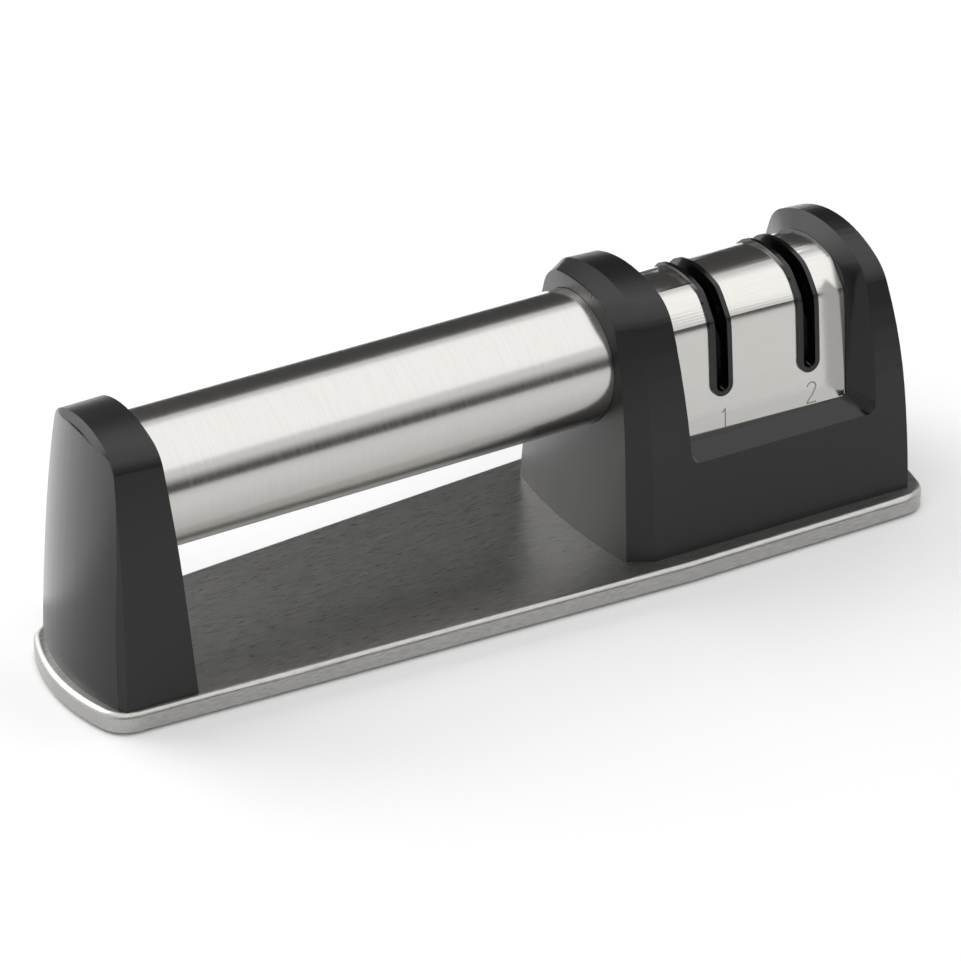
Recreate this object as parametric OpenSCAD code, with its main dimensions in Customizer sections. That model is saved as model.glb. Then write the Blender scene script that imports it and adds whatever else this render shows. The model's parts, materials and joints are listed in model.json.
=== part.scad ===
// Two-stage pull-through knife sharpener: a steel tray, an end post, a tube handle
// and a head with a slotted steel cover over two pairs of sharpening wheels.
// X runs from the handle end to the head end, Y across, Z up from the table.
// Places along X are measured from the handle end of the tray, those of the head from
// its head end.

/* [Base] */
// Overall length of the steel tray
base_len = 205; // [190:1:225]
// Width of the tray at the handle end
base_handle_w = 41; // [40:0.5:50]
// Width of the tray where its sides bend
base_bend_w = 59.4; // [58:0.2:70]
// Width of the tray at the head end
base_head_w = 61.8; // [60:0.2:72]
// Distance of the bend in the sides from the head end
bend_back = 67; // [60:1:75]
// Radius of the bowed handle end of the tray
handle_bow_r = 46; // [40:1:60]
// Radius of the bowed head end of the tray
head_bow_r = 104; // [80:1:130]
// Corner radius of the tray in plan
tray_corner_r = 7.3; // [4:0.1:9]
// Height of the top of the tray above the table
tray_top = 5.1; // [4.9:0.1:8]
// Height of the lower edge of the skirt above the table
skirt_z = 0.8; // [0.5:0.1:1.2]
// Radius of the bend between the top of the tray and its skirt
tray_edge_r = 1.3; // [1:0.1:2]
// Thickness of the tray's steel sheet
sheet_t = 0.8; // [0.5:0.1:0.9]
// Thickness of the rubber sole
sole_t = 1.6; // [1.3:0.1:1.8]
// Thickness of the plate of the stiffening pan
pan_plate_t = 1.2; // [0.8:0.1:1.3]
// Thickness of the ribs and rim of the pan
pan_rib_t = 1.6; // [1:0.1:3]

/* [Post] */
// Distance of the post's outer face from the handle end, on the centre line at its foot
post_x = 1.9; // [1.5:0.1:2.5]
// Radius of the bow of the post's outer face in plan
post_bow_r = 50; // [40:1:70]
// Slope of the outer face at its foot, along X for each unit up
post_face_slope = 0.05; // [0.03:0.005:0.06]
// Radius of the outer face seen from the side
post_barrel_r = 600; // [450:10:900]
// Place of the face's outline at the foot of the post
post_face_x = 5.9; // [5.6:0.1:6.4]
// Depth along X of the thin chamfer round the face
post_chamfer = 1.1; // [0.6:0.1:1.8]
// Inset of the face's outline from the post's sides
post_chamfer_in = 1.5; // [0.8:0.1:2]
// Place of the post's inner face at its foot
post_back_x = 23.1; // [22.5:0.1:26]
// Lean of the face's outline, in degrees
post_face_lean = 2.6; // [1.5:0.1:3.2]
// Lean of the inner face, in degrees
post_back_lean = 3.3; // [1:0.1:4]
// Height of the post above the table
post_top = 63.3; // [62.5:0.1:66]
// Half width of the post at its foot, by the face
post_half = 19.5; // [18.5:0.1:20]
// Half width of the post at its foot, by the inner face
post_back_half = 20.4; // [19.6:0.1:21.5]
// Draft of the post's sides, sideways for each unit up
post_draft = 0.06; // [0.05:0.001:0.07]
// Height at which the post's sides start to bend inwards
post_bend_z = 25; // [20:1:35]
// Radius of that bend
post_side_r = 200; // [150:10:400]
// Radius of the post's shoulders
post_shoulder_r = 6.5; // [5:0.1:9]
// Radius of the post's crown
post_crown_r = 28; // [24:0.5:34]

/* [Handle tube] */
// Outer diameter of the handle tube
tube_d = 30; // [26:0.5:31]
// Wall of the handle tube
tube_wall = 0.8; // [0.6:0.1:1.5]
// Height of the tube's axis above the table
tube_z = 45.8; // [44.5:0.1:47]
// Depth of the tube's seat in the post, from the middle of the inner face
post_seat = 6.7; // [4:0.1:8]
// Depth of the tube's seat in the head, from the middle of its face
head_seat = 5.9; // [4:0.1:6.5]
// Clearance of the tube in its seats, on the radius
seat_gap = 0.1; // [0.05:0.01:0.2]
// Length of the plugs in the tube's ends
plug_len = 10; // [7:0.5:20]
// Wall of the plugs
plug_wall = 2; // [1.5:0.1:3]

/* [Head] */
// Distance of the head's inner face from the head end, on the centre line at its foot
head_back = 81.1; // [80.2:0.1:83]
// Radius of the bow of the head's inner face in plan
head_face_bow_r = 121.5; // [100:0.5:160]
// Lean of the inner face, along X for each unit up
head_face_lean = 0.043; // [0.03:0.001:0.05]
// Distance of the face's outline from the head end
head_face_back = 78.2; // [77.6:0.1:78.4]
// Depth along X of the broad chamfer round the face
head_chamfer = 4.8; // [3:0.1:6]
// Half width of the face's outline at its foot
head_face_half = 22.2; // [21:0.1:23]
// Height of the face's outline
head_face_top = 63.5; // [62.5:0.1:64]
// Half width of the head at its foot, past the chamfer
head_half = 25; // [24:0.1:26]
// Height of the head past the chamfer
head_top = 64.9; // [64.2:0.1:67]
// Half width of the head at its foot, at the far end
head_end_half = 27; // [26:0.1:28]
// Height of the head at the far end
head_end_top = 62.2; // [61.5:0.1:64]
// Distance of the head's far end from the head end of the tray, on the centre line
head_end_back = 4.8; // [3:0.1:5.5]
// Radius of the far end in plan
head_end_bow_r = 135; // [100:1:200]
// Radius of the far end seen from the side
head_end_barrel_r = 280; // [200:10:500]
// Draft of the head's sides by the chamfer, sideways for each unit up
head_draft = 0.096; // [0.085:0.001:0.105]
// Draft of the head's sides at the far end, sideways for each unit up
head_end_draft = 0.105; // [0.09:0.001:0.115]
// Height at which the head's sides start to bend inwards
head_bend_z = 30; // [25:1:40]
// Radius of that bend
head_side_r = 130; // [110:5:300]
// Radius of that bend at the far end
head_end_side_r = 100; // [90:5:300]
// Radius of the shoulders by the face
head_shoulder_r = 8.5; // [6:0.1:12]
// Radius of the shoulders at the far end
head_end_shoulder_r = 8.5; // [6:0.1:12]
// Radius of the crown by the face
head_crown_r = 36; // [32:0.5:50]
// Radius of the crown at the far end
head_end_crown_r = 30; // [27:0.5:45]
// Wall of the mouldings
wall = 2.2; // [1.8:0.1:2.6]

/* [Recess and cover] */
// Distance of the near end of the steel cover from the head end
cover_back = 62; // [61.4:0.1:62.1]
// Length of the steel cover
cover_len = 44.1; // [43.5:0.1:44.5]
// Thickness of the steel cover
cover_t = 0.6; // [0.4:0.1:1]
// Half width of the cover's lower edge at its near end
cover_half = 14.2; // [14:0.1:15]
// Half width of the cover's lower edge at its far end
cover_end_half = 15.6; // [15:0.1:16.5]
// Height of the cover's crown
cover_top = 58.7; // [57.5:0.1:59.5]
// Draft of the cover's panels, sideways for each unit up
cover_draft = 0.06; // [0.05:0.001:0.08]
// Radius of the slight bulge of the panels
cover_side_r = 400; // [200:10:900]
// Radius of the cover's shoulders
cover_shoulder_r = 5.5; // [3:0.1:6.5]
// Radius of the cover's crown
cover_crown_r = 22; // [20:0.5:30]
// Height of the ledge that the cover stands on
ledge_z = 26; // [25:0.1:27]
// Fall of the ledge from the cover to the head's side
ledge_fall = 0.7; // [0.3:0.1:1.5]
// Depth along X of the bevel at the far end of the recess
bevel = 2.4; // [1.5:0.1:2.8]
// Distance of the near mouth of the recess from the head end, at the ledge
mouth_back = 63.4; // [62.5:0.1:64]
// Lean of the mouth there, in degrees
mouth_lean = 4.3; // [2:0.1:7]
// Radius of the lower corners of the recess
recess_corner_r = 2.2; // [1:0.1:4]
// Width of the seat under the cover's edge
cover_seat = 1.6; // [1.2:0.1:2]
// Clearance round the cover's ends
cover_gap = 0.1; // [0.05:0.01:0.2]

/* [Slots] */
// Distance of the coarse slot from the head end
coarse_back = 50; // [48:0.1:52]
// Distance of the fine slot from the head end
fine_back = 27.6; // [26.6:0.1:29.6]
// Width of the slots inside their liners
slot_w = 3; // [2.5:0.1:4]
// Wall of the slot liners
liner_wall = 1.2; // [1:0.1:1.8]
// Height of the lowest point of the liners' rims
liner_z = 34.5; // [32:0.1:38]
// Height of the liners' rims over the cover
liner_rise = 0.7; // [0.3:0.1:1.5]
// Depth of the liners under the cover
liner_depth = 1.6; // [1:0.1:2]
// Clearance between a liner and its cut in the cover
liner_gap = 0.05; // [0.02:0.01:0.1]

/* [Sharpening wheels] */
// Radius of the wheels
wheel_r = 10; // [8:0.1:10.5]
// Radius where the two bevels of a pair of wheels meet
vee_r = 5; // [4.5:0.1:6]
// Half angle of the vee between the wheels, in degrees
vee_half_angle = 20; // [15:1:22]
// Thickness of a wheel
wheel_w = 3.6; // [3.4:0.1:4]
// Height of the wheels' axles above the table
axle_z = 38; // [36:0.1:39]
// Diameter of the axles
axle_d = 3; // [2:0.1:4]
// Running clearance of a hub on its axle, on the radius
axle_fit = 0.06; // [0.05:0.01:0.1]
// Radius of the hubs
hub_r = 3.3; // [2.8:0.1:3.6]
// Side play of a hub between the cheeks, on each side
hub_play = 0.4; // [0.3:0.1:0.6]
// Thickness of the cradle's cheeks
cheek_t = 1.8; // [1.4:0.1:2.4]
// Width of the cradles across the head
cradle_w = 26; // [24:0.5:28]
// Thickness of the cradles' floors
cradle_floor = 2.4; // [1.6:0.1:3.5]
// Thickness of the axle clips
clip_t = 0.6; // [0.4:0.1:0.8]
// Outer radius of the axle clips
clip_r = 3; // [2.6:0.1:3.6]

/* [Screws] */
// Thread diameter of the self-tapping screws
screw_d = 2.9; // [2.5:0.1:3]
// Diameter of the pilot holes
pilot_d = 2.4; // [2:0.1:2.4]
// Head diameter of the screws
screw_head_d = 5.5; // [5:0.1:6]
// Head height of the screws
screw_head_h = 1.3; // [1:0.1:1.4]
// Length of the screws under the head
screw_len = 9.5; // [8:0.5:12]
// Radius of the bosses that take the screws
boss_r = 3.4; // [3:0.1:3.8]

/* [Hidden] */

// Segments of a full circle
$fn = 64;
// Overrun of every cut
over = 1;
// Least radius of an inner corner
least_r = 0.2;
// Play of a screw's shank in a clearance hole
screw_play = 0.2;
// Clearance of a mating part that is pushed in by hand
push_gap = 0.05;

// Web of the plugs
plug_web = 2.5;
// Tip of a screw and the cross in its head
screw_tip = 2;
screw_tip_r = 0.05;
screw_cross = 3;
screw_cross_w = 0.8;
screw_cross_depth = 0.8;
// Play of a fixed axle in its cheeks
axle_seat_gap = 0.03;
// Gap between the small ends of a pair of wheels
wheel_meet = 0.1;

// Radius of the tray's long sides, which are all but straight
base_side_r = 9000;
// Steps of a side arc, a shoulder arc and half a crown arc
side_steps = 5;
shoulder_steps = 8;
crown_steps = 8;
// Steps of the rounded edge of the tray and of the recess's lower corners
edge_steps = 4;
corner_steps = 6;
// How far the fillets of those corners are sunk into the walls they run along
corner_sink = 0.03;
// Segments of the large trimming circles
barrel_fn = 256;

// Places measured from the handle end
bend_x = base_len - bend_back;
head_x = base_len - head_back;
head_face_x = base_len - head_face_back;
head_end_x = base_len - head_end_back;
cover_x = base_len - cover_back;
mouth_x = base_len - mouth_back;
coarse_x = base_len - coarse_back;
fine_x = base_len - fine_back;

// Working sizes of the base
tray_under = tray_top - sheet_t;
pan_gap = 0.15;
sole_gap = 0.4;
pan_inset = tray_edge_r + pan_gap;
sole_inset = sheet_t + sole_gap;
pan_rib_count = 7;

// Working sizes of the handle
post_back_foot = post_back_x + tray_top * tan(post_back_lean);
tube_r = tube_d / 2;
tube_lo = post_back_x - (tube_z - tray_top) * tan(post_back_lean) - post_seat;
tube_hi = head_x + (tube_z - tray_top) * head_face_lean + head_seat;
plug_r = tube_r - tube_wall - push_gap;

// Working sizes of the head
head_outer_x = head_face_x + head_chamfer;
cover_end_x = cover_x + cover_len;
ledge_low = ledge_z - ledge_fall;
recess_lo = mouth_x - (head_top + over - ledge_z) * tan(mouth_lean) - over;
recess_hi = cover_end_x + bevel + over;
head_end_sag = head_end_half * head_end_half / 2 / head_end_bow_r;
// Slant of the recess's end walls, along X for each unit across
ledge_up = ledge_z - tray_top;
near_slant = (cover_x - cover_gap - mouth_x)
    / (head_half + over - head_draft * ledge_up - cover_half - cover_gap);
far_slant = (bevel - cover_gap)
    / (head_end_half + over - head_end_draft * ledge_up - cover_end_half - cover_gap);
// Outline of the fillet in those corners
corner_outline = concat(
    [[-over, -over], [-over, recess_corner_r], [0, recess_corner_r]],
    [for (i = [1 : corner_steps - 1])
        let (turn = 90 * i / corner_steps)
        recess_corner_r * [1 - cos(turn), 1 - sin(turn)]],
    [[recess_corner_r, 0], [recess_corner_r, -over]]);

// Working sizes of the wheels
cheek_in = wheel_w + hub_play;
cheek_out = cheek_in + cheek_t;
cheek_round = 4.6;
axle_r = axle_d / 2;
groove_share = 0.7;
groove_r = axle_r * groove_share;
groove_play = 0.05;
clip_play = 0.05;
clip_mid = cheek_out + clip_play + clip_t / 2;
axle_half = clip_mid + 2 * clip_t;
bevel_len = (wheel_r - vee_r) * tan(vee_half_angle);

// Working sizes of the screws
seat_z = tray_under - pan_plate_t;
boss_h = screw_len + wall;
pilot_depth = screw_len;
rib_t = 1.6;
liner_half = slot_w / 2 + liner_wall;
post_screw_x = 14.6;
post_screw_y = 9;
post_screw_y_sides = [-post_screw_y, post_screw_y];
head_screw_lo_in = 13.7;
head_screw_hi_in = 9.6;
head_screw_lo_x = head_x + head_screw_lo_in;
head_screw_lo_y = 15.6;
head_screw_hi_x = head_end_x - head_screw_hi_in;
head_screw_hi_y = 17.6;
cradle_screw_y = 9;
post_spots = [for (y = post_screw_y_sides) [post_screw_x, y]];
head_spots = [
    [head_screw_lo_x, -head_screw_lo_y], [head_screw_lo_x, head_screw_lo_y],
    [head_screw_hi_x, -head_screw_hi_y], [head_screw_hi_x, head_screw_hi_y]];
cradle_spots = [for (x = [coarse_x, fine_x], y = [-cradle_screw_y, cradle_screw_y]) [x, y]];
all_spots = concat(post_spots, head_spots, cradle_spots);

// Half of an arch as [across, up] points: a drafted side that bends inwards along a
// long arc, a shoulder arc and a crown arc. The inset moves the whole outline inwards,
// and the drop runs the side on below its foot.
function half_arch(half, draft, bend, side_r, top, shoulder_r, crown_r, foot,
        inset = 0, drop = 0) =
    let (
        k = sqrt(1 + draft * draft),
        round_r = max(shoulder_r, inset + least_r),
        side_c = [half - draft * (bend - foot) - side_r / k, bend - side_r * draft / k],
        crown_c = [0, top - crown_r],
        apart = norm(crown_c - side_c),
        to_side = side_r - round_r,
        to_crown = crown_r - round_r,
        along = (to_side * to_side - to_crown * to_crown + apart * apart) / (2 * apart),
        off = sqrt(to_side * to_side - along * along),
        dir = (crown_c - side_c) / apart,
        mid_a = side_c + along * dir + off * [dir[1], -dir[0]],
        mid_b = side_c + along * dir - off * [dir[1], -dir[0]],
        shoulder_c = mid_a[1] > mid_b[1] ? mid_a : mid_b,
        start = atan(draft),
        side_end = atan2(shoulder_c[1] - side_c[1], shoulder_c[0] - side_c[0]),
        meet = atan2(shoulder_c[1] - crown_c[1], shoulder_c[0])
    )
    concat(
        [[half - inset * k + draft * drop, foot - drop]],
        arc(side_c, side_r - inset, start, side_end, side_steps, 0),
        arc(shoulder_c, round_r - inset, side_end, meet, shoulder_steps, 0),
        arc(crown_c, crown_r - inset, meet, 90, crown_steps, 1)
    );

// Points of an arc from one angle towards another; the last point is left out unless asked for
function arc(centre, r, from, to, steps, last) =
    [for (i = [0 : steps - 1 + last])
        let (t = from + (to - from) * i / steps) centre + r * [cos(t), sin(t)]];

// The other half of an outline, mirrored and run backwards without its apex
function mirrored(h) = [for (i = [len(h) - 2 : -1 : 0]) [-h[i][0], h[i][1]]];
function whole(h) = concat(h, mirrored(h));

// Plan of the tray, moved inwards by an inset
function base_points(inset) =
    let (
        near_draft = (base_bend_w - base_handle_w) / 2 / bend_x,
        far_len = base_len - bend_x,
        far_draft = (base_bend_w - base_head_w) / 2 / far_len,
        near = whole(half_arch(base_bend_w / 2, near_draft, bend_x / 2, base_side_r, bend_x,
            tray_corner_r, handle_bow_r, 0, inset)),
        far = whole(half_arch(base_bend_w / 2, far_draft, far_len / 2, base_side_r, far_len,
            tray_corner_r, head_bow_r, 0, inset))
    )
    concat(
        [for (p = near) [bend_x - p[1], p[0]]],
        [for (i = [len(far) - 2 : -1 : 1]) [bend_x + far[i][1], far[i][0]]]
    );

// Outlines across the post and the head
function post_arch(half, inset = 0, drop = 0) =
    whole(half_arch(half, post_draft, post_bend_z, post_side_r, post_top,
        post_shoulder_r, post_crown_r, tray_top, inset, drop));
function head_face_arch(inset = 0, drop = 0) =
    whole(half_arch(head_face_half, head_draft, head_bend_z, head_side_r, head_face_top,
        head_shoulder_r, head_crown_r, tray_top, inset, drop));
function head_outer_arch(inset = 0, drop = 0) =
    whole(half_arch(head_half, head_draft, head_bend_z, head_side_r, head_top,
        head_shoulder_r, head_crown_r, tray_top, inset, drop));
function head_end_arch(inset = 0, drop = 0) =
    whole(half_arch(head_end_half, head_end_draft, head_bend_z, head_end_side_r, head_end_top,
        head_end_shoulder_r, head_end_crown_r, tray_top, inset, drop));
function cover_arch(half, inset = 0, drop = 0) =
    whole(half_arch(half, cover_draft, ledge_z, cover_side_r, cover_top,
        cover_shoulder_r, cover_crown_r, ledge_z, inset, drop));
// Half width of the cover at a place along X
function cover_half_at(x) =
    cover_half + (cover_end_half - cover_half) * (x - cover_x) / cover_len;

// Puts places measured from the handle end round the middle of the tray
module from_end() translate([-base_len / 2, 0, 0]) children();

// A prism along X over an outline of [across, up] points
module prism(x, len, points)
    translate([x, 0, 0])
        rotate([90, 0, 90])
            linear_extrude(len) polygon(points);

module rod(x, len, r) translate([x, 0, 0]) rotate([0, 90, 0]) cylinder(h = len, r = r);

// A closed skin over rings of points that run the same way round, from the lowest ring up
module skin(rings) {
    n = len(rings[0]);
    last = len(rings) - 1;
    polyhedron(
        points = [for (ring = rings) each ring],
        faces = concat(
            [[for (i = [0 : n - 1]) i]],
            [[for (i = [n - 1 : -1 : 0]) last * n + i]],
            [for (k = [0 : last - 1], i = [0 : n - 1])
                [k * n + i, (k + 1) * n + i, k * n + (i + 1) % n]],
            [for (k = [0 : last - 1], i = [0 : n - 1])
                [k * n + (i + 1) % n, (k + 1) * n + i, (k + 1) * n + (i + 1) % n]]));
}

// A ring over an outline of [across, up] points at a place along X, leaning by an angle
function arch_ring(x, points, lean = 0) =
    [for (p = points) [x + p[1] * sin(lean), p[0], p[1] * cos(lean)]];

// One ring of the tray's plan at a height
function base_ring(inset, z) = [for (p = base_points(inset)) [p[0], p[1], z]];

// The tray's form with a rounded upper edge
module tray_form(inset, bottom, top, edge_r)
    skin(concat(
        [base_ring(inset, bottom)],
        [for (i = [0 : edge_steps])
            let (turn = 90 * i / edge_steps)
            base_ring(inset + edge_r * (1 - cos(turn)), top - edge_r * (1 - sin(turn)))]));

module screw_holes(spots, r)
    for (p = spots)
        translate([p[0], p[1], -over]) cylinder(h = tray_top + 2 * over, r = r);

module base_tray()
    color("silver")
        from_end()
            difference() {
                tray_form(0, skirt_z, tray_top, tray_edge_r);
                tray_form(sheet_t, skirt_z - over, tray_under, tray_edge_r - sheet_t);
                screw_holes(all_spots, screw_d / 2 + screw_play);
            }

module pan_plan(inset) polygon(base_points(inset));

// A shallow moulding that fills the tray, with ribs and screw bosses below its plate
module base_pan()
    color("dimgray")
        from_end()
            difference() {
                union() {
                    translate([0, 0, seat_z]) linear_extrude(pan_plate_t) pan_plan(pan_inset);
                    translate([0, 0, sole_t])
                        linear_extrude(pan_plate_t + seat_z - sole_t)
                            difference() {
                                pan_plan(pan_inset);
                                pan_plan(pan_inset + pan_rib_t);
                            }
                    translate([0, 0, sole_t])
                        linear_extrude(seat_z + pan_plate_t - sole_t)
                            intersection() {
                                pan_plan(pan_inset + pan_rib_t / 2);
                                pan_ribs();
                            }
                }
                screw_holes(all_spots, screw_d / 2 + screw_play);
                for (p = all_spots)
                    translate([p[0], p[1], seat_z - screw_head_h - over - over])
                        cylinder(h = screw_head_h + 2 * over, r = screw_head_d / 2 + screw_play);
            }

module pan_ribs() {
    rib_pitch = base_len / (pan_rib_count + 1);
    translate([0, -pan_rib_t / 2]) square([base_len, pan_rib_t]);
    for (i = [1 : pan_rib_count])
        translate([i * rib_pitch - pan_rib_t / 2, -base_head_w])
            square([pan_rib_t, 2 * base_head_w]);
    for (p = all_spots)
        translate(p) circle(r = screw_head_d / 2 + screw_play + pan_rib_t);
}

module non_slip_sole()
    color("black")
        from_end()
            linear_extrude(sole_t) polygon(base_points(sole_inset));

// A barrel that trims the post's outer face to its bow and its side curve
module post_barrel()
    translate([post_x + post_bow_r, 0, tray_top])
        rotate_extrude($fn = barrel_fn / 2)
            intersection() {
                translate([post_bow_r - post_barrel_r, -post_barrel_r * post_face_slope])
                    circle(r = post_barrel_r, $fn = barrel_fn);
                square([post_bow_r, post_top]);
            }

// The post's form, run on below its foot: its outer face with the chamfer round it, and
// its inner face
module post_form()
    skin([
        arch_ring(post_x - post_face_x, post_arch(post_half, post_chamfer_in, over),
            post_face_lean),
        arch_ring(post_face_x, post_arch(post_half, post_chamfer_in, over), post_face_lean),
        arch_ring(post_face_x + post_chamfer, post_arch(post_half, 0, over), post_face_lean),
        arch_ring(post_back_foot, post_arch(post_back_half, 0, over), -post_back_lean)]);

// What is hollow in the post, open at its foot
module post_hollow()
    skin([
        arch_ring(post_face_x + post_chamfer + wall, post_arch(post_half, wall, over),
            post_face_lean),
        arch_ring(post_back_foot - wall, post_arch(post_back_half, wall, over),
            -post_back_lean)]);

module end_post()
    color([0.13, 0.13, 0.13])
        from_end()
            difference() {
                intersection() {
                    post_form();
                    post_barrel();
                }
                difference() {
                    post_hollow();
                    translate([0, 0, tube_z]) {
                        rod(tube_lo - wall, post_back_x, tube_r + seat_gap + wall);
                        rod(post_x, post_back_x, boss_r);
                    }
                    bosses(post_spots, boss_h);
                    for (y = post_screw_y_sides)
                        translate([post_x, y - rib_t / 2, tray_top])
                            cube([post_back_x - post_x, rib_t, boss_h]);
                }
                translate([0, 0, tube_z]) {
                    rod(tube_lo, post_back_x, tube_r + seat_gap);
                    rod(tube_lo - screw_len + plug_web, screw_len, pilot_d / 2);
                }
                pilots(post_spots);
            }

// Bosses that stand on the tray, and the pilot holes in them
module bosses(spots, height)
    for (p = spots)
        translate([p[0], p[1], tray_top]) cylinder(h = height, r = boss_r);

module pilots(spots)
    for (p = spots)
        translate([p[0], p[1], tray_top - over]) cylinder(h = pilot_depth + over, r = pilot_d / 2);

// A self-tapping screw with its head down and its tip up, seated at the origin
module screw() {
    cylinder(h = screw_len - screw_tip, r = pilot_d / 2);
    translate([0, 0, screw_len - screw_tip]) cylinder(h = screw_tip, r1 = pilot_d / 2,
        r2 = screw_tip_r);
    difference() {
        translate([0, 0, -screw_head_h]) cylinder(h = screw_head_h, r = screw_head_d / 2);
        for (turn = [0, 90])
            rotate([0, 0, turn])
                translate([-screw_cross / 2, -screw_cross_w / 2, -screw_head_h - over])
                    cube([screw_cross, screw_cross_w, screw_cross_depth + over]);
    }
}

module screws_up(spots)
    color("gainsboro")
        from_end()
            for (p = spots)
                translate([p[0], p[1], seat_z]) screw();

module post_screws() screws_up(post_spots);
module head_screws() screws_up(head_spots);
module cradle_screws() screws_up(cradle_spots);

module handle_tube()
    color("lightgray")
        from_end()
            translate([0, 0, tube_z])
                difference() {
                    rod(tube_lo, tube_hi - tube_lo, tube_r);
                    rod(tube_lo - over, tube_hi - tube_lo + 2 * over, tube_r - tube_wall);
                }

// A cup that fills one end of the tube, with its web at x and its mouth towards dir
module tube_plug(x, dir)
    translate([x, 0, tube_z])
        mirror([dir < 0 ? 1 : 0, 0, 0])
            difference() {
                rod(0, plug_len, plug_r);
                rod(plug_web, plug_len, plug_r - plug_wall);
                children();
            }

module tube_plug_post()
    color("dimgray")
        from_end()
            tube_plug(tube_lo, 1)
                rod(-over, plug_len, screw_d / 2 + screw_play);

module tube_plug_head()
    color("dimgray")
        from_end() {
            tube_plug(tube_hi, -1)
                rod(-over, plug_len, pilot_d / 2);
            translate([tube_hi - plug_len, 0, tube_z])
                difference() {
                    rod(0, plug_len - plug_web, boss_r);
                    rod(-over, plug_len, pilot_d / 2);
                }
        }

// One screw holds each plug: from inside the tube at the post, from the cavity at the head
module plug_screws()
    color("gainsboro")
        from_end() {
            translate([tube_lo + plug_web, 0, tube_z]) rotate([0, -90, 0]) screw();
            translate([tube_hi + wall, 0, tube_z]) rotate([0, -90, 0]) screw();
        }

// Trims the head's inner face to its bow and lean
module head_face_cone()
    translate([head_x + head_face_bow_r, 0, tray_top])
        cylinder(h = head_top, r1 = head_face_bow_r,
            r2 = head_face_bow_r - head_top * head_face_lean, $fn = barrel_fn);

// Trims the far end of the head to its bow and its side curve
module head_end_barrel()
    translate([head_end_x - head_end_bow_r, 0, tray_top])
        rotate_extrude($fn = barrel_fn)
            intersection() {
                translate([head_end_bow_r - head_end_barrel_r, 0])
                    circle(r = head_end_barrel_r, $fn = barrel_fn);
                translate([0, -over]) square([head_end_bow_r, head_top + over]);
            }

// The head's form, run on below its foot: its inner face, the broad chamfer round it and
// its far end
module head_form()
    skin([
        arch_ring(head_x - over, head_face_arch(0, over)),
        arch_ring(head_face_x, head_face_arch(0, over)),
        arch_ring(head_outer_x, head_outer_arch(0, over)),
        arch_ring(head_end_x, head_end_arch(0, over))]);

// The same form inside the head's wall, open at its foot
module head_hollow()
    skin([
        arch_ring(head_outer_x + wall, head_outer_arch(wall, over)),
        arch_ring(head_end_x - wall, head_end_arch(wall, over))]);

// What stays of the head at the near end of the recess: a wall whose mouth leans, and the
// bevel from the mouth in to the cover's outline
module near_bevel() {
    mouth = head_outer_arch(-over, ledge_up + ledge_fall);
    skin([
        arch_ring(recess_lo - over, mouth),
        arch_ring(mouth_x + ledge_z * tan(mouth_lean), mouth, -mouth_lean),
        arch_ring(cover_x - cover_gap, cover_arch(cover_half, -cover_gap, ledge_fall))]);
}

// The same at its far end, where the mouth is upright
module far_bevel() {
    mouth = head_end_arch(-over, ledge_up + ledge_fall);
    skin([
        arch_ring(cover_end_x + cover_gap, cover_arch(cover_end_half, -cover_gap, ledge_fall)),
        arch_ring(cover_end_x + bevel, mouth),
        arch_ring(recess_hi, mouth)]);
}

// What is cut from the head between its two walls, above the ledge
module recess()
    difference() {
        translate([recess_lo, -base_head_w, ledge_low])
            cube([recess_hi - over / 2 - recess_lo, 2 * base_head_w, head_top]);
        near_bevel();
        far_bevel();
        ledge();
        recess_corner(cover_x - cover_gap, cover_half + 3 * cover_gap, near_slant, 1);
        recess_corner(cover_end_x + cover_gap, cover_end_half + 3 * cover_gap, far_slant, -1);
    }

// The ledge: flat under the cover, falling towards the head's sides
module ledge()
    prism(recess_lo, recess_hi - recess_lo, [
        [-base_head_w, 0], [base_head_w, 0],
        [head_end_half, ledge_low], [cover_end_half + 2 * cover_gap, ledge_z],
        [-cover_end_half - 2 * cover_gap, ledge_z], [-head_end_half, ledge_low]]);

// The rounded lower corners at one end of the recess: a fillet from the cover's panel out
// along the end wall, which slants by the given share towards the end of the head
module recess_corner(x, y_in, slant, dir) {
    y_out = base_head_w;
    z_out = ledge_z - ledge_fall * (y_out - y_in) / (head_end_half - y_in);
    for (side = [0, 1])
        translate([x, 0, 0])
            mirror([dir < 0 ? 1 : 0, 0, 0])
                mirror([0, side, 0])
                    skin([
                        [for (p = corner_outline)
                            [p[0] - corner_sink, y_in, ledge_z + p[1] - corner_sink]],
                        [for (p = corner_outline)
                            [p[0] - corner_sink - slant * (y_out - y_in), y_out,
                                z_out + p[1] - corner_sink]]]);
}

// The room under the cover, open upwards over the wheels
module cover_room(gap)
    skin([
        arch_ring(tube_hi + wall, cover_arch(cover_half_at(tube_hi + wall), gap, ledge_up)),
        arch_ring(cover_end_x + cover_seat,
            cover_arch(cover_half_at(cover_end_x + cover_seat), gap, ledge_up))]);

module head_cavity()
    difference() {
        union() {
            intersection() {
                head_hollow();
                translate([tube_hi + wall, -base_head_w, 0])
                    cube([head_end_x - head_end_sag - 2 * wall - tube_hi, 2 * base_head_w,
                        ledge_low - wall]);
            }
            cover_room(cover_t + cover_seat);
        }
        bosses(head_spots, ledge_z - tray_top);
    }

module head_housing()
    color([0.13, 0.13, 0.13])
        from_end()
            difference() {
                intersection() {
                    head_form();
                    head_face_cone();
                    head_end_barrel();
                }
                recess();
                head_cavity();
                translate([0, 0, tube_z]) {
                    rod(head_x - over, tube_hi - head_x + over, tube_r + seat_gap);
                    rod(tube_hi - over, wall + 2 * over, screw_d / 2 + screw_play);
                }
                pilots(head_spots);
            }

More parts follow.
